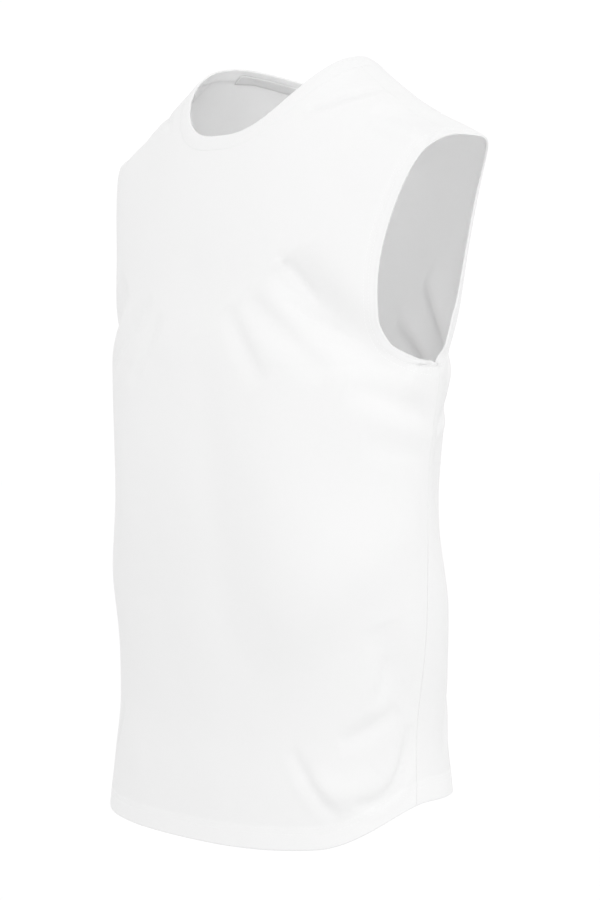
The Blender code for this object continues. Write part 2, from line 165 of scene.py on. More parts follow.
# In millimetres on the cloth of a panel. A fold runs through three points, each given by its distance
# across from the panel's middle, + to the wearer's left, and its height. Then come the widths to the left
# and right of that run, the depth, negative in a trough, and the height of the roll to the right.
FOLDS = {
    "front": (
        # drag lines from the underarm on the wearer's left
        (108, -186, 156, -238, 238, -286, 23, 20, -13.5, 0),
        (69, -217, 108, -244, 161, -285, 10.5, 14, -5, 0),
        (47, -226, 70, -257, 98, -294, 8.5, 11, -3.4, 0),
        (108, -220, 137, -234, 174, -252, 3.5, 3, -1.8, 0.4),
        (98, -180, 116, -196, 142, -222, 6, 3.4, -2.6, 0.6),
        (178, -294, 220, -309, 266, -328, 14, 11, -5.2, 0),
        (190, -346, 225, -350, 262, -358, 14, 11, -1.8, 0),
        (44, -176, 43, -187, 44, -198, 2.2, 2.2, -0.7, 0),
        # shoulder
        (97, -52, 125, -44, 161, -34, 4.2, 5, -3.6, 1),
        (170, -56, 204, -63, 242, -83, 7, 6, -3.6, 1.2),
        # low on the wearer's left, over the hip and into the hem
        (124, -612, 146, -645, 172, -668, 5, 6, -3.2, 0.6),
        (182, -656, 216, -643, 231, -590, 4.6, 5.5, -4.4, 0.8),
        (166, -604, 193, -592, 218, -574, 7.5, 10, -3.6, 0),
        (196, -576, 205, -556, 211, -528, 5.5, 5.5, -2, 0),
        (140, -632, 172, -650, 200, -630, 12, 12, 3.4, 0),
        # broad drape of the front
        (106, -250, 110, -400, 150, -540, 42, 38, 4, 0),
        (85, -545, 180, -455, 275, -365, 48, 34, 9, 0),
        (21, -250, 43, -420, 75, -600, 24, 24, -2.2, 0),
        (204, -500, 221, -560, 234, -640, 18, 14, -4, 0),
        # the wearer's right, much as the left
        (-238, -290, -170, -244, -128, -204, 20, 12, -7, 0.6),
        (-158, -288, -106, -249, -67, -215, 10, 9, -3.2, 0.4),
        (-94, -298, -66, -261, -46, -233, 8.5, 8, -2.2, 0.3),
        (-262, -331, -214, -311, -182, -298, 13, 7, -3.4, 0.6),
        (-164, -36, -129, -45, -97, -54, 4.5, 4.2, -1.8, 0.5),
        (-243, -81, -205, -65, -172, -55, 6, 7, -1.8, 0.5),
        (-172, -664, -149, -641, -131, -606, 4.4, 4.8, -3, 0.8),
        (-225, -600, -206, -640, -184, -656, 4.8, 4.8, -3, 0.8),
        (-152, -559, -99, -398, -93, -250, 38, 42, 3, 0),
        (-255, -404, -196, -468, -137, -510, 38, 30, 3, 0),
    ),
    "back": (
        # drag lines under the arms, a little fullness under the shoulder blades, and low creases
        (100, -196, 152, -244, 212, -286, 20, 8.5, -8, 1.6),
        (62, -235, 106, -262, 149, -301, 11, 7, -4, 1),
        (160, -312, 190, -326, 220, -336, 12, 5.5, -3.6, 1),
        (-212, -284, -156, -240, -96, -190, 19, 8.5, -8, 1.4),
        (-149, -306, -99, -266, -57, -235, 11, 7, -4.2, 1),
        (-222, -334, -194, -322, -164, -310, 12, 5.5, -3.6, 0.8),
        (222, -225, 200, -360, 185, -490, 30, 30, -11, 0),
        (-21, -209, 13, -380, 2, -559, 30, 30, -5, 0),
        (89, -260, 105, -421, 118, -599, 32, 32, 4.2, 0),
        (-123, -610, -98, -429, -93, -270, 32, 32, 4.2, 0),
        (150, -481, 160, -561, 162, -640, 16, 16, -3, 0),
        (-171, -641, -165, -550, -149, -470, 16, 16, -3.2, 0),
        (59, -599, 86, -628, 120, -645, 5.5, 5.5, -2.8, 0.8),
        (-140, -639, -103, -625, -80, -596, 5.5, 5.5, -3, 0.8),
        (176, -556, 198, -590, 212, -630, 6, 6, -2.4, 0.6),
        (-107, -30, -133, -53, -178, -62, 6, 6, -1.8, 0.5),
        (106, -28, 139, -47, 182, -62, 6, 6, -1.8, 0.5),
    ),
}
FOLD_STEPS = 14
FOLD_FADE = 0.6             # how gently a fold's ends come in, from 0 for a sudden end
DRAPE_FADE = 1.5            # the same for a fold wider than DRAPE_WIDTH
DRAPE_WIDTH = 0.025
RIDGE_PLACE = 2.0           # the roll's distance from the trough, in widths
RIDGE_SPREAD = 0.9

# Faint unevenness of cloth that hangs free: waves of these lengths, with seeded directions
WAVE_LENGTHS = (0.120, 0.085, 0.060, 0.042)
WAVE_HEIGHTS = (0.00050, 0.00034, 0.00022, 0.00012)
WAVE_SEEDS = {"front": 11, "back": 12}
WAVES_EACH = 3              # of each length
WAVE_SLANT = 0.9            # largest slant of a wave's run, in radians
PUCKER_LENGTH = 0.0085
PUCKER_HEIGHT = 0.00010
PUCKER_REACH = 0.0060
PUCKER_SWAY = 2.1           # how far the gathers drift, in radians
PUCKER_SWAY_LENGTH = 5.3    # over how many of them

# ---- grids

PANELS = ("front", "back")
COLUMNS_NECK = 32
COLUMNS_SHOULDER = 43
LOW_NECK_SHARE = 0.36       # share at the underarm of the column that ends at the neck point
FAN = 3.0                   # how late the columns gather towards the neck point
EDGE_COLUMNS = (            # distances of the outermost columns from the armhole's edge, in metres
    0.0200, 0.0165, 0.0150, 0.0140, 0.0133, 0.0125, 0.0117, 0.0108, 0.0096, 0.0088,
    0.0080, 0.0072, 0.0060, 0.0045, 0.0028, 0.0014, 0.0008, 0.0004, 0.0,
)
SHARE_PER_METRE = 8.4       # share of the panel's half width that a metre takes at mid armhole
HEM_RISES = (               # heights of the lowest rows above the hem's edge
    0.0, 0.0004, 0.0009, 0.0016, 0.0035, 0.0062, 0.0090, 0.0115, 0.0131, 0.0138, 0.0144,
    0.0150, 0.0158, 0.0170, 0.0180, 0.0186, 0.0192, 0.0198, 0.0205, 0.0218, 0.0240,
)
ROWS_BODY = 118
ROWS_UNDERARM = 14
UNDERARM_ZONE = 0.019
SLANTED_ROWS = 4            # rows above the underarm that run almost along the armhole's edge
ROWS_YOKE = 92
YOKE_CROWDING = 1.35
TOP_STRIPS = (0.010, 0.006, 0.0035, 0.0016)   # last shares of the climb to a sewn top edge
RUN_STEPS = 25
BAND_INSETS = (             # of the rings, as shares of the band's width from the free edge
    1.0, 0.985, 0.955, 0.90, 0.80, 0.68, 0.55, 0.42, 0.30, 0.19, 0.11, 0.060, 0.030, 0.012, 0.0,
)
BAND_TURNS = 90
BAND_RUN_RING = 7           # the ring of the band whose length its flat cloth takes
HAIR = 1e-9                 # takes in the neck point's own column


def column_of(columns, table, name):
    """One named column of a table."""
    return np.array([row[columns.index(name)] for row in table], float)


def read_table(columns, table, name, at):
    """A column's value at the given places in the first column, on a smooth curve without overshoot."""
    x = column_of(columns, table, columns[0])
    y = column_of(columns, table, name)
    step = np.diff(x)
    rise = np.diff(y) / step
    slope = np.concatenate([rise[:1], np.zeros(len(x) - 2), rise[-1:]])
    same_way = rise[:-1] * rise[1:] > 0
    total = np.where(same_way, rise[:-1] + rise[1:], 1.0)
    slope[1:-1] = np.where(same_way, 2 * rise[:-1] * rise[1:] / total, 0.0)
    at = np.clip(at, x[0], x[-1])
    i = np.clip(np.searchsorted(x, at) - 1, 0, len(x) - 2)
    t = (at - x[i]) / step[i]
    start = (1 + 2 * t) * (1 - t) ** 2 * y[i] + t * (1 - t) ** 2 * step[i] * slope[i]
    end = t * t * (3 - 2 * t) * y[i + 1] + t * t * (t - 1) * step[i] * slope[i + 1]
    return start + end


def signed_power(value, power):
    return np.sign(value) * np.abs(value) ** power


def unit(vectors):
    return vectors / norm(vectors, axis=-1, keepdims=True)


# ---- the shirt's form


def body_size(name, height):
    return read_table(BODY_COLUMNS, BODY, name, height)


def ring_point(bearing, height):
    """A point of the body below the underarm."""
    ahead = np.cos(bearing) > 0
    depth = np.where(ahead, body_size("front_depth", height), body_size("back_depth", height))
    x = body_size("half_width", height) * signed_power(np.sin(bearing), 2 / RING_POWER)
    y = -depth * signed_power(np.cos(bearing), 2 / RING_POWER)
    return np.stack(np.broadcast_arrays(x, y, height), -1)


def shoulder_share(x):
    """0 at the neck point, 1 at the shoulder's end, and below 0 inside the neck."""
    return (np.abs(x) - NECK_HALF) / (SHOULDER_TIP_X - NECK_HALF)


def ridge_height(x):
    """Height of the shoulder ridge, carried on flatter across the neck."""
    share = shoulder_share(x)
    inside = np.clip(1 - np.abs(x) / NECK_HALF, 0, 1)
    between = np.clip(share, 0, 1)
    sag = SHOULDER_SAG * between * (1 - between)
    higher = RIGHT_LIFT * np.exp(-(((x - RIGHT_LIFT_X) / RIGHT_LIFT_SPREAD) ** 2))
    return SHOULDER_TIP_Z * (share * np.where(share > 0, 1.0, 1 - 0.5 * inside) + sag) + higher


def yoke_point(bearing, climb):
    """A point above the underarm. Climb runs from 0 in front over the ridge at 90 degrees to 180."""
    ahead = climb < pi / 2
    lift = np.abs(np.sin(climb))
    low_half = body_size("half_width", UNDERARM_Z)
    half = low_half + (SHOULDER_SPREAD - low_half) * lift**2
    x = half * signed_power(np.sin(bearing), 2 / RING_POWER)
    share = np.clip(shoulder_share(x), 0, 1)
    front, back = (ARCH_NECK[side] + (ARCH_TIP[side] - ARCH_NECK[side]) * share**2 for side in ARCH_NECK)
    power = np.where(ahead, front, back)
    z = UNDERARM_Z + (ridge_height(x) - UNDERARM_Z) * lift ** (2 / power)
    depth = np.where(ahead, -body_size("front_depth", z), body_size("back_depth", z))
    low_y = depth * np.abs(np.cos(bearing)) ** (2 / RING_POWER)
    ridge_y = RIDGE_Y_NECK + (RIDGE_Y_TIP - RIDGE_Y_NECK) * share
    y = ridge_y + (low_y - ridge_y) * np.abs(np.cos(climb)) ** (2 / power)
    return np.stack([x, y, z], -1)


def bearing_at_ridge(x):
    return np.arcsin((x / SHOULDER_SPREAD) ** (RING_POWER / 2))


TIP_BEARING = bearing_at_ridge(SHOULDER_TIP_X)
CLIMB_STEP = 0.01           # on both sides of the neck's edge, to find its slope


def spread(share, edge):
    """Bearing of a column at a share of the way from the middle to the edge. Outer columns bend most."""
    side = pi / 2
    return share * (side - (side - edge) * np.abs(share))


def seam_climb(panel):
    """Climb of the shoulder seam, counted up from the panel's own side."""
    return pi / 2 - SHOULDER_SEAM_LEAN if panel == "front" else pi / 2 + SHOULDER_SEAM_LEAN


def neck_share(inset):
    """The column share of the neck point, inset from the opening's edge."""
    bend = pi / 2 - TIP_BEARING
    bearing = bearing_at_ridge(NECK_HALF + inset)
    return (pi / 2 - np.sqrt(pi * pi / 4 - 4 * bend * bearing)) / (2 * bend)


def neck_middle_climb(panel, inset):
    """Climb of the neck's edge at the panel's middle, inset from the opening's edge."""
    front = panel == "front"
    drop = FRONT_NECK_DROP if front else BACK_NECK_DROP
    crown = ridge_height(0.0) - UNDERARM_Z
    edge = np.arcsin(((-drop - UNDERARM_Z) / crown) ** (ARCH_NECK[panel] / 2))
    turns = edge - CLIMB_STEP, edge + CLIMB_STEP
    below, above = (yoke_point(0.0, turn if front else pi - turn) for turn in turns)
    cloth_per_radian = norm(above - below) / (2 * CLIMB_STEP)
    return edge - inset / cloth_per_radian


def neck_climb(panel, turn, inset):
    """Climb of the neck's edge. Turn is 0 at the panel's middle and 90 degrees at the neck point."""
    roundness = NECK_ROUNDNESS[panel]
    top = seam_climb(panel)
    middle = neck_middle_climb(panel, inset)
    return top - (top - middle) * (1 - np.abs(np.sin(turn)) ** roundness) ** (1 / roundness)


def side_bearing(height):
    return np.radians(read_table(SIDE_COLUMNS, SIDE_SEAM, "bearing", height))


def edge_bearing(panel, up):
    """Bearing of the armhole's edge, which starts at the side seam and ends at the shoulder's end."""
    rows = ARMHOLE + ((1.0, np.degrees(TIP_BEARING), np.degrees(TIP_BEARING)),)
    edge = np.radians(read_table(ARMHOLE_COLUMNS, rows, panel, up))
    beyond = side_bearing(UNDERARM_Z) - pi / 2
    fade = np.clip(1 - up / SEAM_BLEND, 0, 1)
    return edge + (beyond if panel == "front" else -beyond) * fade


def bearing_and_climb(panel, share, top_climb, up):
    """Where a yoke point lies at a share across the panel and a share up to that column's top."""
    seam = seam_climb(panel)
    climb = seam * up - (seam - top_climb) * up**NECK_CROWDING
    return spread(share, edge_bearing(panel, up)), climb if panel == "front" else pi - climb


def panel_point(panel, share, top_climb, up):
    return yoke_point(*bearing_and_climb(panel, share, top_climb, up))


def hem_height(bearing):
    degrees = np.degrees(bearing)
    degrees = np.where(degrees > 270, degrees - 360, degrees)
    return read_table(HEM_COLUMNS, HEM, "height", degrees)


def around(panel, share, height):
    """Bearing of a column of the body at a height."""
    side = side_bearing(height)
    return share * side if panel == "front" else pi - share * (pi - side)


# ---- fine grids on the form


def neck_turns(count):
    """Turns round the neck, closer together towards the neck point."""
    return pi / 2 * (1 - (1 - np.linspace(0, 1, count + 1)) ** TURN_CROWDING)


def both_sides(inner):
    """Shares of all columns from the wearer's right to left, given those from middle to neck point."""
    edge = 1 - np.array(EDGE_COLUMNS) * SHARE_PER_METRE
    outer = np.linspace(inner[-1], edge[0], COLUMNS_SHOULDER + 1)[1:-1]
    half = np.concatenate([inner, outer, edge])
    return np.concatenate([-half[:0:-1], half])


def top_shares():
    """Shares across the panel at its top, gathered towards the neck point."""
    return both_sides(neck_share(BAND) * np.sin(neck_turns(COLUMNS_NECK)))


def low_shares():
    """Shares across the panel from the hem to the underarm."""
    return both_sides(np.linspace(0, LOW_NECK_SHARE, COLUMNS_NECK + 1))


def body_rows(panel, shares):
    """Bearings and heights of the rows from the hem to just below the underarm."""
    foot = hem_height(around(panel, shares, hem_height(side_bearing(NEAR_HEM))))
    low, high = foot + HEM_RISES[-1], UNDERARM_Z - UNDERARM_ZONE
    heights = [foot + rise for rise in HEM_RISES]
    heights += [low + (high - low) * row / ROWS_BODY for row in range(1, ROWS_BODY + 1)]
    zone = [high + UNDERARM_ZONE * row / ROWS_UNDERARM for row in range(1, ROWS_UNDERARM)]
    heights = np.array(heights + [np.full_like(shares, height) for height in zone])
    return around(panel, shares, heights), heights


def yoke_rows(panel):
    """Bearings and climbs of the rows from the underarm to the shoulder seams and the neck."""
    at_neck = neck_share(BAND)
    shares, low = top_shares(), low_shares()
    turn = np.arcsin(np.clip(np.abs(shares) / at_neck, 0, 1))
    inside = np.abs(shares) < at_neck
    top = np.where(inside, neck_climb(panel, turn, BAND), seam_climb(panel))
    ups = np.linspace(0, 1, ROWS_YOKE) ** YOKE_CROWDING
    ups = np.concatenate([ups[:-1], [1 - strip for strip in TOP_STRIPS], [1]])
    ups = np.repeat(ups[:, None], len(shares), axis=1)
    return bearing_and_climb(panel, low + (shares - low) * ups**FAN, top, ups)


def run_from_middle(form, middle, bearing, level):
    """Length of the form's line at one level, from the panel's middle to each bearing."""
    parts = np.linspace(0, 1, RUN_STEPS)
    path = np.array([form(middle + (bearing - middle) * part, level) for part in parts])
    return norm(np.diff(path, axis=0), axis=-1).sum(axis=0)


def grid_normals(grid):
    """Unit normals of a grid's points, on the side from which its columns run right and rows up."""
    return unit(np.cross(np.gradient(grid, axis=1), np.gradient(grid, axis=0)))


def ring_normals(grid):
    """Unit normals of a grid whose rows are closed rings."""
    wrapped = np.concatenate([grid[:, -1:], grid, grid[:, :1]], axis=1)
    return grid_normals(wrapped)[:, 1:-1]


def run_along(points):
    """Distance of each point from the first, along a line or along each column of a grid."""
    steps = norm(np.diff(points, axis=0), axis=-1)
    return np.concatenate([np.zeros_like(steps[:1]), np.cumsum(steps, axis=0)])


def distance_across(grid):
    """Distance of each point along its row from the middle column, + to the wearer's left."""
    run = run_along(grid.swapaxes(0, 1)).T
    return run - run[:, grid.shape[1] // 2, None]


def flat_places(grid):
    """Each point's place on the flat cloth: across from the middle and up from the lowest row."""
    return np.stack([distance_across(grid), run_along(grid)], -1)


def distance_to_line(points, line):
    """Distance of each of the points to the nearest of a line's."""
    return np.array([norm(row[:, None] - line[None], axis=-1).min(axis=1) for row in points])


def neck_line(panel, turns, inset):
    """A line on the form along the neck's edge, inset from it. Turns grow to the wearer's left."""
    share = neck_share(inset) * np.sin(turns)
    return panel_point(panel, share, neck_climb(panel, np.abs(turns), inset), np.ones_like(share))


def band_ring(inset):
    """A closed line round the neck, inset from the opening's edge."""
    turns = neck_turns(BAND_TURNS)
    halves = []
    for side in (1, -1):
        front, back = (neck_line(panel, side * turns, inset) for panel in PANELS)
        halves.append(np.concatenate([front, back[-2::-1]]))
    return np.concatenate([halves[0], halves[1][-2:0:-1]])


# ---- folds and sewing as pushes


def one_fold(fold, across, height):
    """How far one fold pushes the points out."""
    start, middle, end = fold[:6].reshape(3, 2)
    left, right, depth, ridge = fold[6:]
    t = np.linspace(0, 1, FOLD_STEPS + 1)[:, None]
    path = start * (1 - t) * (1 - 2 * t) + middle * 4 * t * (1 - t) + end * t * (2 * t - 1)
    nearest = np.full(across.shape, np.inf)
    beside = np.zeros(across.shape)
    along = np.zeros(across.shape)
    for index, (a, b) in enumerate(zip(path[:-1], path[1:])):
        run = b - a
        length = np.hypot(*run)
        share = np.clip(((across - a[0]) * run[0] + (height - a[1]) * run[1]) / length**2, 0, 1)
        off = np.hypot(across - a[0] - share * run[0], height - a[1] - share * run[1])
        side = (run[0] * (height - a[1]) - run[1] * (across - a[0])) / length
        closer = off < nearest
        nearest = np.where(closer, off, nearest)
        beside = np.where(closer, side, beside)
        along = np.where(closer, (index + share) / FOLD_STEPS, along)
    fade = np.sin(pi * along) ** (DRAPE_FADE if left > DRAPE_WIDTH else FOLD_FADE)
    distance = np.sign(beside) * nearest / np.where(beside > 0, left, right)
    roll = ridge * np.exp(-(((distance + RIDGE_PLACE) / RIDGE_SPREAD) ** 2))
    return fade * (depth * np.exp(-(distance**2)) + roll)


def fold_push(panel, across, height):
    """How far each point moves out of the form for the panel's folds."""
    push = np.zeros_like(across)
    for row in FOLDS[panel]:
        push += one_fold(np.array(row) / 1000, across, height)
    return push


def wave_push(panel, across, height):
    """A faint unevenness, so that no stretch of cloth is quite smooth."""
    draw = np.random.default_rng(WAVE_SEEDS[panel])
    push = np.zeros_like(across)
    for length, size in zip(WAVE_LENGTHS, WAVE_HEIGHTS):
        bearings = draw.uniform(-WAVE_SLANT, WAVE_SLANT, WAVES_EACH)
        for bearing, phase in zip(bearings, draw.uniform(0, 2 * pi, WAVES_EACH)):
            along = across * np.cos(bearing) + height * np.sin(bearing)
            push += size / WAVES_EACH * np.sin(2 * pi * along / length + phase)
    return push


def groove(distance, line):
    """How far a row of stitches at a distance from an edge draws the cloth in."""
    return GROOVE_DEPTH * np.exp(-(((distance - line) / GROOVE_WIDTH) ** 2))


def pucker(distance, line, along):
    """The small gathers that a row of stitches leaves on both its sides."""
    sway = PUCKER_SWAY * np.sin(2 * pi * along / (PUCKER_SWAY_LENGTH * PUCKER_LENGTH))
    ripple = np.sin(2 * pi * along / PUCKER_LENGTH + sway)
    return PUCKER_HEIGHT * ripple * np.exp(-(((distance - line) / PUCKER_REACH) ** 2))


def roll_over(distance, radius):
    """How far a rounded edge has dropped at a distance from it."""
    short = np.clip(radius - distance, 0, radius)
    return radius - np.sqrt(np.maximum(radius**2 - short**2, 0))


def smooth_step(value):
    value = np.clip(value, 0, 1)
    return value * value * (3 - 2 * value)


# ---- panels


def bare_panel(panel):
    """The panel on the shirt's form without folds, and each point's distance from the panel's middle."""
    shares = low_shares()
    body, yoke = body_rows(panel, shares), yoke_rows(panel)
    grid = np.concatenate([ring_point(*body), yoke_point(*yoke)])
    middle = 0.0 if panel == "front" else pi
    across = [run_from_middle(ring_point, middle, *body), run_from_middle(yoke_point, 0.0, *yoke)]
    return grid, np.concatenate(across) * np.sign(shares)


def draped_panel(panel):
    """The panel with its folds: the surface that the cloth's outer side follows."""
    grid, across = bare_panel(panel)
    outward = panel_normals(panel, grid)
    neck = grid[-1, np.abs(top_shares()) <= neck_share(BAND) + HAIR]
    push = fold_push(panel, across, grid[..., 2]) + wave_push(panel, across, grid[..., 2])
    push *= smooth_step(distance_to_line(grid, neck) / NECK_EASE)
    return grid + outward * (push + SHIFT_OUT)[..., None]


FIRST_YOKE_ROW = len(HEM_RISES) + ROWS_BODY + ROWS_UNDERARM - 1


def panel_normals(panel, grid):
    """Outward normals of a panel. Rows that slant just above the underarm take those just below."""
    normals = grid_normals(grid) * (1 if panel == "front" else -1)
    sound = FIRST_YOKE_ROW - 2
    for row in range(sound + 1, FIRST_YOKE_ROW + SLANTED_ROWS):
        nearest = norm(grid[row][:, None] - grid[sound][None], axis=-1).argmin(axis=1)
        normals[row] = normals[sound][nearest]
    return normals


def close_seams(grids):
    """Brings the panels' sewn edges within a hair's breadth, and eases the cloth beside them."""
    front, back = grids["front"], grids["back"]
    end = FIRST_YOKE_ROW
    for column in (0, -1):
        middle = (front[:end + 1, column] + back[:end + 1, column]) / 2
        for grid in (front, back):
            edge = grid[:, column].copy()
            above = norm(edge[end + 1:] - edge[end], axis=-1)
            shift = np.zeros_like(edge)
            shift[:end + 1] = middle - edge[:end + 1]
            shift[end + 1:] = shift[end] * (1 - smooth_step(above / SEAM_EASE))[:, None]
            away = norm(grid - edge[:, None], axis=-1)
            grid += shift[:, None] * (1 - smooth_step(away / SEAM_EASE))[..., None]
    seam = np.abs(top_shares()) >= neck_share(BAND) - HAIR
    middle = (front[-1] + back[-1]) / 2
    for grid in (front, back):
        shift = (middle - grid[-1]) * seam[:, None]
        away = norm(grid - grid[-1], axis=-1)
        grid += shift * (1 - smooth_step(away / SEAM_EASE))[..., None]
    for grid in (front, back):
        for edge, inner in ((grid[:end + 1, 0], grid[:end + 1, 1]),
                            (grid[:end + 1, -1], grid[:end + 1, -2]),
                            (grid[-1], grid[-2])):
            edge += unit(inner - edge) * SEAM_GAP / 2


def armhole_lines(grids, column):
    """The armhole's edge on one side: up the front from the underarm and down the back."""
    front = grids["front"][FIRST_YOKE_ROW:, column]
    back = grids["back"][FIRST_YOKE_ROW:, column]
    return np.concatenate([front, back[::-1]])


def panel_shell(panel, grids, cut):
    """Outer and inner points of a panel's wall, their flat places and how pale its turned edges look."""
    grid = grids[panel]
    outward = panel_normals(panel, grid)
    across, up = distance_across(grid), run_along(grid)
    from_arm = np.minimum(*(distance_to_line(grid, armhole_lines(grids, column)) for column in (0, -1)))
    from_side = np.where(across > 0, across[:, -1:] - across, across - across[:, :1])
    below_arm = np.arange(len(grid))[:, None] <= FIRST_YOKE_ROW
    from_side = np.where(below_arm, from_side, FAR)
    at_hem = 1 - smooth_step((up - cut.hem_depth) / TURN_EASE)
    at_arm = 1 - smooth_step((from_arm - cut.armhole_hem) / TURN_EASE)
    turned = np.maximum(at_hem, at_arm)
    wall = cut.cloth + (cut.turned - cut.cloth) * turned
    if panel == "back":
        allowance = 1 - smooth_step((from_side - ALLOWANCE) / TURN_EASE)
        wall = np.maximum(wall, cut.cloth + (ALLOWANCE_WALL - cut.cloth) * allowance)
    free_edge = np.minimum(up, np.where(below_arm, FAR, from_arm))
    free_roll = roll_over(free_edge, EDGE_ROLL * wall)
    seam_roll = roll_over(np.minimum(from_side, up[-1:] - up), SEAM_ROLL)
    sewn = sum(groove(up, line) + pucker(up, line, across) / 2 for line in HEM_ROWS)
    sewn = sewn + sum(groove(from_arm, line) + pucker(from_arm, line, up) / 2 for line in ARMHOLE_ROWS)
    outer = grid - outward * (np.maximum(free_roll, seam_roll) + sewn)[..., None]
    inner = grid - outward * np.maximum(wall - free_roll, seam_roll + LEAST_WALL)[..., None]
    return outer, inner, np.stack([across, up], -1), np.maximum(at_hem, ARMHOLE_PALENESS * at_arm)


def new_piece(name, points, faces):
    """A smooth mesh object in the scene."""
    mesh = bpy.data.meshes.new(name)
    mesh.from_pydata(points.tolist(), [], faces)
    mesh.shade_smooth()
    thing = bpy.data.objects.new(name, mesh)
    bpy.context.scene.collection.objects.link(thing)
    return thing


def shell_mesh(name, outer, inner, cut_uv, paleness=0.0, inner_slot=1, closed=False, flip=False):
    """A closed wall from its outer and inner grids, which have the same rows and columns."""
    rows, columns = outer.shape[:2]
    count = rows * columns
    index = np.arange(count).reshape(rows, columns)
    across_next = np.roll(index, -1, axis=1) if closed else index[:, 1:]
    here = index if closed else index[:, :-1]
    quads = np.stack([here[:-1], across_next[:-1], across_next[1:], here[1:]], -1).reshape(-1, 4)
    rims = [(across_next[0], here[0]), (here[-1], across_next[-1])]
    if not closed:
        left, right = index[:, 0], index[:, -1]
        rims += [(left[:-1], left[1:]), (right[1:], right[:-1])]
    rims = [np.stack([start, end, end + count, start + count], -1) for start, end in rims]
    faces = np.concatenate([quads, quads[:, ::-1] + count, *rims])
    if flip:
        faces = faces[:, ::-1]
    points = np.concatenate([outer.reshape(-1, 3), inner.reshape(-1, 3)])
    thing = new_piece(name, points, faces.tolist())
    mesh = thing.data
    corners = np.concatenate([cut_uv.reshape(-1, 2)] * 2)[faces]
    if closed:
        length = cut_uv[..., 0].max() + np.median(np.diff(cut_uv[0, :, 0]))
        wraps = np.ptp(corners[..., 0], axis=1) > length / 2
        low = corners[..., 0] < length / 2
        corners[..., 0] += np.where(wraps[:, None] & low, length, 0)
    layer = mesh.uv_layers.new(name="cut")
    layer.data.foreach_set("uv", corners.reshape(-1).astype(np.float32))
    layers = mesh.attributes.new("doubled", "FLOAT", "POINT")
    paleness = np.broadcast_to(paleness, (2, rows, columns))
    layers.data.foreach_set("value", paleness.ravel().astype(np.float32))
    side = np.zeros(len(faces), np.int32)
    side[len(quads):2 * len(quads)] = inner_slot
    mesh.polygons.foreach_set("material_index", side)
    mesh.update()
    return thing


# ---- stitches


STITCH_SIDES = 6
STITCH_FLATNESS = 0.7       # height of the thread, in widths
STITCH_DIVE = 0.9           # how far its ends dive into the cloth, in widths
STITCH_LIFT = 0.2           # how far it stands off the cloth, in widths


def stitch_template(length, thread):
    """One stitch: a thread that rises from the cloth, lies on it and dives back."""
    bpy.ops.object.select_all(action="DESELECT")
    bpy.ops.mesh.primitive_uv_sphere_add(segments=STITCH_SIDES, ring_count=STITCH_SIDES, radius=0.5)
    stitch = bpy.context.object
    bpy.ops.object.mode_set(mode="EDIT")
    bpy.ops.mesh.select_all(action="SELECT")
    bpy.ops.transform.rotate(value=pi / 2, orient_axis="Y", center_override=(0, 0, 0))
    bpy.ops.transform.resize(value=(length, thread, thread * STITCH_FLATNESS))
    bpy.ops.object.mode_set(mode="OBJECT")
    mesh = stitch.data
    points = np.array([vertex.co for vertex in mesh.vertices])
    faces = [tuple(polygon.vertices) for polygon in mesh.polygons]
    points[:, 2] -= STITCH_DIVE * thread * (np.abs(points[:, 0]) / length * 2) ** 3
    bpy.data.objects.remove(stitch)
    bpy.data.meshes.remove(mesh)
    return points, faces


def resample(line, step):
    """Points at even steps round a closed line, with the line's direction there."""
    line = np.concatenate([line, line[:1]])
    run = run_along(line)
    count = max(int(run[-1] / step), 1)
    places = (np.arange(count) + 0.5) * run[-1] / count
    at, after, before = (
        np.stack([np.interp(places + shift, run, line[:, axis]) for axis in range(3)], -1)
        for shift in (0, step / 3, -step / 3)
    )
    return at, unit(after - before)


def surface_tree(things):
    """A search tree over the outer faces of the given shells."""
    points, faces = [], []
    for mesh in (thing.data for thing in things):
        start = len(points)
        points += [vertex.co.copy() for vertex in mesh.vertices]
        outside = (face for face in mesh.polygons if face.material_index == 0)
        faces += [[start + i for i in face.vertices] for face in outside]
    return BVHTree.FromPolygons(points, faces)


def lay_on(tree, line):
    """The line's points moved onto the cloth, and the cloth's normals there."""
    found = [tree.find_nearest(Vector(point)) for point in line]
    return np.array([hit[0] for hit in found]), np.array([hit[1] for hit in found])


def sew(name, lines, tree, settings):
    """A joined mesh of the stitches of several closed rows."""
    shape, shape_faces = stitch_template(settings.stitch, settings.thread)
    points, faces = [], []
    for line in lines:
        places, direction = resample(line, settings.stitch + settings.stitch_gap)
        places, upward = lay_on(tree, places)
        direction = unit(direction - upward * (direction * upward).sum(axis=1, keepdims=True))
        beside = np.cross(upward, direction)
        for place, along, side, up in zip(places, direction, beside, upward):
            start = len(points) * len(shape)
            lift = up * settings.thread * STITCH_LIFT
            points.append(place + shape @ np.array([along, side, up]) + lift)
            faces += [[start + i for i in face] for face in shape_faces]
    return new_piece(name, np.concatenate(points), faces)


def armhole_row(grids, column, inset):
    """A line on the cloth at an even distance in from the armhole's edge."""
    edge = armhole_lines(grids, column)
    upward = armhole_lines({panel: panel_normals(panel, grids[panel]) for panel in grids}, column)
    line = np.concatenate([edge[-1:], edge, edge[:1]])
    inward = unit(np.cross(upward, unit(line[2:] - line[:-2])))
    return edge + inward * (inset if column == -1 else -inset)


# ---- finishes

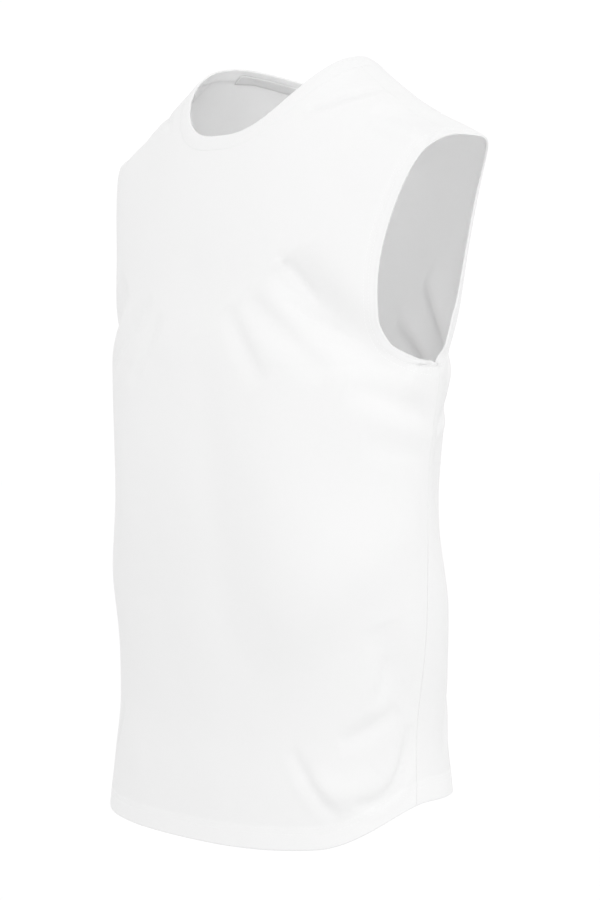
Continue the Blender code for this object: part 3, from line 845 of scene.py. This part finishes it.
SURFACES = {                # roughness, sheen and specular level
    "jersey": (0.92, 0.06, 0.25),
    "twill": (0.85, 0.05, 0.30),
    "satin": (0.50, 0.0, 0.40),
    "thread": (0.60, 0.0, 0.40),
    "floor": (0.90, 0.0, 0.20),
}
SHEEN_ROUGHNESS = 0.6
LIGHT_REACH = 0.0030        # how far light spreads in single cloth
BAND_LIGHT_REACH = 0.0060
JERSEY_SLUBS = (260.0, 3.0, 0.6)    # scale, detail and roughness of the thick places in the yarn
RIB_SLUBS = (300.0, 3.0, 0.6)
DOUBLED_SHARE = 0.65        # of the jersey's brightness that comes from lying double
SLUB_SHARE = 0.35
LOOP_SLANT = {"face": 1.1, "reverse": 0.25}
LOOP_HEIGHT = {"face": 0.45, "reverse": 0.8}    # beside that of the wales
FUZZ_SCALE = 900.0          # of the fibres that stand off the knit
JERSEY_FUZZ = 0.8
RIB_FUZZ = 0.6
JERSEY_BUMP = (0.5, 0.00008)        # strength and depth
RIB_BUMP = (0.5, 0.00010)
TWILL_BUMP = (0.5, 0.00008)
SATIN_BUMP = (0.3, 0.00004)
TWILL_LINE = 0.0009         # from line to line
TWILL_SHARE = 0.25
TWILL_SPECKS = 400.0
TWILL_MOTTLE = 0.02
SATIN_LINE = 0.0005
SATIN_SPECKS = 500.0
SATIN_MOTTLE = 0.015
THREAD_TWIST = 3500.0
THREAD_MOTTLE = 0.03
PAINTED_SHADOW_REACH = 0.7            # reach of the painted shadow: the greyer floor round the shirt
FLOOR_BLEND = 1.5           # width over which it turns white
FLOOR_DROP_SQUARED = 2.1    # square of the floor's depth below the neck points, rounded
FLOOR_SPECKS = 1.5
FLOOR_MOTTLE = 0.02


class Finish:
    """A dull material, and the nodes that colour it and give it its fine relief."""

    def __init__(self, name, kind, through=0.0, reach=LIGHT_REACH):
        self.material = bpy.data.materials.new(name)
        self.material.use_nodes = True
        self.tree = self.material.node_tree
        self.surface = self.tree.nodes["Principled BSDF"]
        roughness, sheen, specular = SURFACES[kind]
        self.feed(self.surface, {
            "Roughness": roughness, "Sheen Weight": sheen, "Sheen Roughness": SHEEN_ROUGHNESS,
            "Specular IOR Level": specular, "Metallic": 0, "Subsurface Weight": through,
            "Subsurface Radius": (1, 1, 1), "Subsurface Scale": reach,
        })

    def feed(self, node, sockets):
        """Gives each named socket of a node its value, or links it to another node's output."""
        for name, value in sockets.items():
            if isinstance(value, bpy.types.NodeSocket):
                self.tree.links.new(value, node.inputs[name])
            else:
                node.inputs[name].default_value = value
        return node

    def node(self, kind, **sockets):
        return self.feed(self.tree.nodes.new("ShaderNode" + kind), sockets)

    def step(self, operation, *inputs):
        """A Math node on sockets and numbers."""
        node = self.node("Math")
        node.operation = operation
        return self.feed(node, dict(enumerate(inputs))).outputs[0]

    def wave(self, place, length):
        return self.step("SINE", self.step("MULTIPLY", place, 2 * pi / length))

    def noise(self, place, scale, detail=2.0, roughness=0.5):
        node = self.node("TexNoise", Vector=place, Scale=scale, Detail=detail, Roughness=roughness)
        return node.outputs["Fac"]

    def on_cloth(self):
        """The cut's coordinates in metres, and their two parts."""
        uv = self.node("UVMap")
        uv.uv_map = "cut"
        parts = self.node("SeparateXYZ", Vector=uv.outputs["UV"])
        return uv.outputs["UV"], parts.outputs["X"], parts.outputs["Y"]

    def in_space(self):
        return self.node("TexCoord").outputs["Object"]

    def paint(self, share, low, high):
        """Colours the surface from low to high."""
        node = self.node("Mix")
        node.data_type = "RGBA"
        self.feed(node, {"A": (*low, 1), "B": (*high, 1), "Factor": share})
        self.feed(self.surface, {"Base Color": node.outputs["Result"]})

    def mottle(self, share, colour, spread):
        """Colours the surface a little darker and lighter than the given colour."""
        self.paint(share, np.array(colour) - spread, np.array(colour) + spread)

    def bump(self, height, strength, depth):
        node = self.node("Bump", Strength=strength, Distance=depth, Height=height)
        self.feed(self.surface, {"Normal": node.outputs["Normal"]})

    def fuzzy(self, height, uv, fuzz):
        """The height with a fine fuzz of fibres on it."""
        return self.step("ADD", height, self.step("MULTIPLY", self.noise(uv, FUZZ_SCALE), fuzz))


def jersey(name, settings, colour, side):
    """Fine white cotton jersey, paler where it lies double. Its loops are Vs outside and bars inside."""
    finish = Finish(name, "jersey", settings.through if side == "reverse" else 0.0)
    uv, across, up = finish.on_cloth()
    doubled = finish.node("Attribute")
    doubled.attribute_name = "doubled"
    slubs = finish.step("MULTIPLY", finish.noise(uv, *JERSEY_SLUBS), SLUB_SHARE)
    share = finish.step("MULTIPLY_ADD", doubled.outputs["Fac"], DOUBLED_SHARE, slubs)
    finish.mottle(share, colour, settings.mottle)
    wale = finish.step("FRACT", finish.step("DIVIDE", across, settings.wale))
    leg = finish.step("ABSOLUTE", finish.step("SUBTRACT", wale, 0.5))
    course = finish.step("DIVIDE", up, settings.course)
    loop = finish.wave(finish.step("MULTIPLY_ADD", leg, LOOP_SLANT[side], course), 1)
    height = finish.step("MULTIPLY_ADD", loop, LOOP_HEIGHT[side], finish.wave(wale, 2))
    finish.bump(finish.fuzzy(height, uv, JERSEY_FUZZ), *JERSEY_BUMP)
    return finish.material


def rib(name, settings, colour, side):
    """Fine one by one rib, whose ridges cross the band."""
    finish = Finish(name, "jersey", settings.through if side == "reverse" else 0.0, BAND_LIGHT_REACH)
    uv, across, _ = finish.on_cloth()
    finish.mottle(finish.noise(uv, *RIB_SLUBS), colour, settings.mottle)
    finish.bump(finish.fuzzy(finish.wave(across, settings.rib), uv, RIB_FUZZ), *RIB_BUMP)
    return finish.material


def twill(name, colour):
    """Narrow tape woven in a slanting twill."""
    finish = Finish(name, "twill")
    uv, across, up = finish.on_cloth()
    lines = finish.wave(finish.step("ADD", across, up), TWILL_LINE)
    share = finish.step("MULTIPLY_ADD", lines, TWILL_SHARE, finish.noise(uv, TWILL_SPECKS))
    finish.mottle(share, colour, TWILL_MOTTLE)
    finish.bump(lines, *TWILL_BUMP)
    return finish.material


def satin(name, colour):
    """Smooth woven label, blank."""
    finish = Finish(name, "satin")
    uv, across, _ = finish.on_cloth()
    finish.mottle(finish.noise(uv, SATIN_SPECKS), colour, SATIN_MOTTLE)
    finish.bump(finish.wave(across, SATIN_LINE), *SATIN_BUMP)
    return finish.material


def spun_thread(name, colour):
    """Spun polyester thread, a little mottled by its twist."""
    finish = Finish(name, "thread")
    finish.mottle(finish.noise(finish.in_space(), THREAD_TWIST, 1.0), colour, THREAD_MOTTLE)
    return finish.material


def floor_with_painted_shadow(name, near, far):
    """Matt pale floor with painted shade: greyer below the shirt, to cut the light bounced up onto it,
    and white further out.
    """
    finish = Finish(name, "floor")
    place = finish.in_space()
    length = finish.node("VectorMath")
    length.operation = "LENGTH"
    finish.feed(length, {0: place})
    squared = finish.step("POWER", length.outputs["Value"], 2.0)
    flat = finish.step("SQRT", finish.step("SUBTRACT", squared, FLOOR_DROP_SQUARED))
    share = finish.step("MULTIPLY", finish.step("SUBTRACT", flat, PAINTED_SHADOW_REACH), 1 / FLOOR_BLEND)
    specks = finish.step("MULTIPLY", finish.noise(place, FLOOR_SPECKS), FLOOR_MOTTLE)
    finish.paint(finish.step("ADD", share, specks), near, far)
    return finish.material


# ---- settings


def in_metres(name, default, description):
    return FloatProperty(name=name, description=description, default=default, unit="LENGTH")


def in_grey(name, level, description):
    return FloatVectorProperty(name=name, description=description, size=3, min=0, max=1, subtype="COLOR",
                               default=(level, level, level))


class ShirtCut(bpy.types.PropertyGroup):
    """Sizes of the cloth and its sewing."""

    cloth: in_metres("Cloth", 0.0010, "Wall of single jersey")
    turned: in_metres("Turned edge", 0.0019, "Wall where an edge is turned under")
    band_wall: in_metres("Band wall", 0.0020, "Wall of the doubled neckband")
    hem_depth: in_metres("Hem", 0.021, "Depth of the turned hem")
    armhole_hem: in_metres("Armhole edge", 0.0145, "Depth of the turned armhole edge")
    stitch: in_metres("Stitch", 0.0025, "Length of one stitch")
    stitch_gap: in_metres("Gap", 0.0006, "Cloth between two stitches")
    thread: in_metres("Thread", 0.00045, "Width of the sewing thread")


class ShirtFinish(bpy.types.PropertyGroup):
    """Colours and knit of the shirt."""

    jersey: in_grey("Jersey", 0.845, "Colour of the jersey")
    # Painted light: the reverse is painted paler than the face, for the light that the thin cloth lets
    # into the shirt
    inside: in_grey("Inside", 0.95, "Colour of the jersey's and the band's reverse")
    band: in_grey("Neckband", 0.825, "Colour of the rib")
    tape: in_grey("Tape", 0.97, "Colour of the neck tape")
    label: in_grey("Label", 0.62, "Colour of the blank label")
    thread: in_grey("Thread", 0.90, "Colour of the sewing thread")
    through: FloatProperty(name="Through", description="Share of light that the reverse lets through",
                           default=1.0, min=0, max=1)
    mottle: FloatProperty(name="Mottle", description="Difference between thin and thick places",
                          default=0.015, min=0, max=0.1)
    wale: in_metres("Wale", 0.0009, "Width of one column of knit")
    course: in_metres("Course", 0.0007, "Height of one row of knit")
    rib: in_metres("Rib", 0.0018, "Width of one rib")


class ShirtStudio(bpy.types.PropertyGroup):
    """Camera, lights and floor."""

    azimuth: FloatProperty(name="Azimuth", description="Camera's bearing from the front",
                           subtype="ANGLE", default=radians(48.55))
    pitch: FloatProperty(name="Pitch", description="How far the camera looks down",
                         subtype="ANGLE", default=radians(3.57))
    distance: in_metres("Distance", 1.906, "Camera to the shirt's axis")
    height: in_metres("Height", -0.246, "Camera's height")
    aside: in_metres("Aside", 0.0191, "How far the camera stands to its right")
    lens: FloatProperty(name="Lens", description="Focal length in millimetres, on a 36 mm side",
                        default=81.08)
    shift: FloatProperty(name="Shift", description="Vertical shift of the lens", default=0.0066)
    floor_drop: in_metres("Floor", 1.45, "Floor below the neck points")
    # Painted shade: the floor's grey below the shirt
    near: in_grey("Near floor", 0.68, "Colour of the floor below the shirt")
    floor: in_grey("Floor colour", 0.985, "Colour of the floor")
    surround: FloatProperty(name="Surround", description="Brightness of the white room", default=1.03)
    key: FloatProperty(name="Key", description="Power of the soft key light in watts", default=13.0)


# ---- studio

FLOOR_WIDTH = 24
KEY_BEARING = radians(62)   # of the soft light, from the front
KEY_ELEVATION = radians(26)
KEY_DISTANCE = 3.0
KEY_WIDTH = 1.6
KEY_TARGET_Z = -0.3
FILM_WIDTH = 36             # in millimetres, as the lens is
CAMERA_REACH = 60

# ---- operators

made = {}


def finish_piece(thing, slot, *materials, replaced=None):
    """Gives a piece its materials and hangs it on the shirt's body."""
    for material in materials:
        thing.data.materials.append(material)
    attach(thing, "root")
    if replaced:
        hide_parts(replaced)
    made[thing.name] = thing


class SHIRT_OT_panels(bpy.types.Operator):
    """Cut, drape and turn the front and back panels"""

    bl_idname = "shirt.panels"
    bl_label = "Panels"

    def execute(self, context):
        cut, finish = context.scene.shirt_cut, context.scene.shirt_finish
        grids = {panel: draped_panel(panel) for panel in PANELS}
        close_seams(grids)
        made["grids"] = grids
        face = jersey("jersey_face", finish, finish.jersey, "face")
        # The reverse takes the paler inside colour: painted light inside the shirt
        reverse = jersey("jersey_reverse_with_painted_light", finish, finish.inside, "reverse")
        for panel in PANELS:
            wall = panel_shell(panel, grids, cut)
            cloth = shell_mesh(panel + "_panel_cloth", *wall, flip=panel == "back")
            finish_piece(cloth, "jersey", face, reverse, replaced=panel + "_panel")
        return {"FINISHED"}


class SHIRT_OT_neckband(bpy.types.Operator):
    """Sew the doubled rib band round the neck"""

    bl_idname = "shirt.neckband"
    bl_label = "Neckband"

    def execute(self, context):
        cut, finish = context.scene.shirt_cut, context.scene.shirt_finish
        grid = np.array([band_ring((BAND - SEAM_GAP / 2) * share) for share in BAND_INSETS])
        outward = ring_normals(grid)
        from_edge = (np.array(BAND_INSETS) * BAND)[:, None]
        from_seam = BAND - from_edge
        bulge = BAND_BULGE * np.sin(pi * from_edge / BAND) + SHIFT_OUT
        free_roll = roll_over(from_edge, EDGE_ROLL * cut.band_wall)
        seam_roll = roll_over(from_seam, SEAM_ROLL)
        outer = grid + outward * (bulge - np.maximum(free_roll, seam_roll))[..., None]
        inner = grid - outward * (cut.band_wall - bulge - free_roll)[..., None]
        run = run_along(grid[BAND_RUN_RING])
        uv = np.stack(np.broadcast_arrays(run[None], from_seam), -1)
        band = shell_mesh("neckband_cloth", outer, inner, uv, closed=True)
        face = rib("band_rib", finish, finish.band, "face")
        # The band's reverse takes the paler inside colour: painted light inside the neck
        reverse = rib("band_rib_reverse_with_painted_light", finish, finish.inside, "reverse")
        finish_piece(band, "neckband", face, reverse, replaced="neckband")
        return {"FINISHED"}


class SHIRT_OT_neck_tape(bpy.types.Operator):
    """Cover the back neck seam inside with a woven tape"""

    bl_idname = "shirt.neck_tape"
    bl_label = "Neck tape"

    def execute(self, context):
        cut, finish = context.scene.shirt_cut, context.scene.shirt_finish
        turns = np.linspace(-TAPE_END_TURN, TAPE_END_TURN, TAPE_COLUMNS)
        insets = np.linspace(BAND + TAPE_BELOW, BAND - TAPE_ABOVE, TAPE_ROWS)
        grid = np.array([neck_line("back", turns, inset) for inset in insets])
        inward = grid_normals(grid)
        outer = grid + inward * (cut.band_wall + LYING_GAP)
        inner = grid + inward * (cut.band_wall + LYING_GAP + TAPE_WALL)
        tape = shell_mesh("neck_tape_cloth", outer, inner, flat_places(grid), inner_slot=0, flip=True)
        finish_piece(tape, "tape", twill("tape_twill", finish.tape), replaced="neck_tape")
        return {"FINISHED"}


class SHIRT_OT_neck_label(bpy.types.Operator):
    """Hang the small blank label under the neck tape"""

    bl_idname = "shirt.neck_label"
    bl_label = "Label"

    def execute(self, context):
        cut, finish = context.scene.shirt_cut, context.scene.shirt_finish
        grid = made["grids"]["back"]
        cloth = grid + grid_normals(grid) * (cut.cloth + LYING_GAP)
        middle = cloth.shape[1] // 2
        up, across = run_along(cloth), distance_across(cloth)
        drops = TAPE_BELOW + LABEL_UNDER_TAPE + np.linspace(LABEL_HEIGHT, 0, LABEL_ROWS)
        at = np.linspace(-LABEL_WIDTH / 2, LABEL_WIDTH / 2, LABEL_COLUMNS)
        rows = []
        for drop in drops:
            row = np.interp(up[-1, middle] - drop, up[:, middle], np.arange(len(cloth)))
            low = int(row)
            lines = [
                np.stack([np.interp(at, across[r], cloth[r, :, axis]) for axis in range(3)], -1)
                for r in (low, low + 1)
            ]
            rows.append(lines[0] + (lines[1] - lines[0]) * (row - low))
        outer = np.array(rows)
        inner = outer + grid_normals(outer) * LABEL_WALL
        label = shell_mesh("neck_label_cloth", outer, inner, flat_places(outer), inner_slot=0, flip=True)
        finish_piece(label, "label", satin("label_satin", finish.label), replaced="neck_label")
        return {"FINISHED"}


class SHIRT_OT_stitching(bpy.types.Operator):
    """Sew the twin rows of the hem and the armholes"""

    bl_idname = "shirt.stitching"
    bl_label = "Stitching"

    def execute(self, context):
        cut, finish = context.scene.shirt_cut, context.scene.shirt_finish
        grids = made["grids"]
        tree = surface_tree([made["front_panel_cloth"], made["back_panel_cloth"]])
        thread = spun_thread("sewing_thread", finish.thread)
        hem_lines = []
        for line in HEM_ROWS:
            row = HEM_RISES.index(line)
            hem_lines.append(np.concatenate([grids["front"][row], grids["back"][row][::-1]]))
        finish_piece(sew("hem_stitches", hem_lines, tree, cut), None, thread)
        for side, column in (("left", -1), ("right", 0)):
            lines = [armhole_row(grids, column, inset) for inset in ARMHOLE_ROWS]
            finish_piece(sew(side + "_armhole_stitches", lines, tree, cut), None, thread)
        return {"FINISHED"}


class SHIRT_OT_sheets(bpy.types.Operator):
    """Does nothing to the pieces; no flat cut is stated"""

    bl_idname = "shirt.sheets"
    bl_label = "Flat cut"

    def execute(self, context):
        return {"FINISHED"}


class SHIRT_OT_stage(bpy.types.Operator):
    """Set the pale floor, the white room, the soft light and the camera"""

    bl_idname = "shirt.stage"
    bl_label = "Studio"

    def execute(self, context):
        scene, studio = context.scene, context.scene.shirt_studio
        bpy.ops.object.select_all(action="DESELECT")
        bpy.ops.mesh.primitive_plane_add(size=FLOOR_WIDTH, location=(0, 0, -studio.floor_drop))
        floor = context.object
        floor.name = "studio_floor"
        floor.data.transform(floor.matrix_world)
        floor.location = (0, 0, 0)
        # The floor's grey below the shirt is painted shade
        floor.data.materials.append(floor_with_painted_shadow("floor_with_painted_shadow", studio.near, studio.floor))

        world = bpy.data.worlds.new("white_room")
        world.use_nodes = True
        room = world.node_tree.nodes["Background"]
        room.inputs["Color"].default_value = (1, 1, 1, 1)
        room.inputs["Strength"].default_value = studio.surround
        scene.world = world
        scene.view_settings.view_transform = "Standard"

        level = cos(KEY_ELEVATION)
        away = Vector((sin(KEY_BEARING) * level, -cos(KEY_BEARING) * level, sin(KEY_ELEVATION)))
        target = Vector((0, 0, KEY_TARGET_Z))
        bpy.ops.object.light_add(type="AREA", location=target + away * KEY_DISTANCE)
        key = context.object
        key.name = "key_light"
        key.data.shape = "DISK"
        key.data.size = KEY_WIDTH
        key.data.energy = studio.key
        key.rotation_euler = away.to_track_quat("Z", "Y").to_euler()

        azimuth = studio.azimuth
        right = Vector((cos(azimuth), sin(azimuth), 0))
        back = Vector((sin(azimuth), -cos(azimuth), 0))
        place = back * studio.distance + right * studio.aside + Vector((0, 0, studio.height))
        bpy.ops.object.camera_add(location=place)
        camera = context.object
        camera.name = "photo_camera"
        camera.rotation_euler = Euler((pi / 2 - studio.pitch, 0, azimuth))
        camera.data.lens = studio.lens
        camera.data.sensor_width = FILM_WIDTH
        camera.data.shift_y = studio.shift
        camera.data.clip_end = CAMERA_REACH
        scene.camera = camera
        return {"FINISHED"}


class SHIRT_PT_panel(bpy.types.Panel):
    """Steps of the shirt, in sewing order"""

    bl_idname = "SHIRT_PT_panel"
    bl_label = "Sleeveless T-Shirt"
    bl_space_type = "VIEW_3D"
    bl_region_type = "UI"
    bl_category = "T-Shirt"

    def draw(self, context):
        for step in STEPS:
            self.layout.operator(step.bl_idname)
        for group in (context.scene.shirt_cut, context.scene.shirt_finish, context.scene.shirt_studio):
            box = self.layout.box()
            for name in group.__annotations__:
                box.prop(group, name)


GROUPS = {"shirt_cut": ShirtCut, "shirt_finish": ShirtFinish, "shirt_studio": ShirtStudio}
STEPS = (
    SHIRT_OT_panels,
    SHIRT_OT_neckband,
    SHIRT_OT_neck_tape,
    SHIRT_OT_neck_label,
    SHIRT_OT_stitching,
    SHIRT_OT_sheets,
    SHIRT_OT_stage,
)


def register():
    for name, group in GROUPS.items():
        bpy.utils.register_class(group)
        setattr(bpy.types.Scene, name, PointerProperty(type=group))
    for step in (*STEPS, SHIRT_PT_panel):
        bpy.utils.register_class(step)


def unregister():
    for step in (SHIRT_PT_panel, *reversed(STEPS)):
        bpy.utils.unregister_class(step)
    for name, group in GROUPS.items():
        delattr(bpy.types.Scene, name)
        bpy.utils.unregister_class(group)


def main():
    register()
    bpy.ops.shirt.stage()
    bpy.ops.shirt.panels()
    bpy.ops.shirt.neckband()
    bpy.ops.shirt.neck_tape()
    bpy.ops.shirt.neck_label()
    bpy.ops.shirt.stitching()
    bpy.ops.shirt.sheets()


if __name__ == "__main__":
    main()
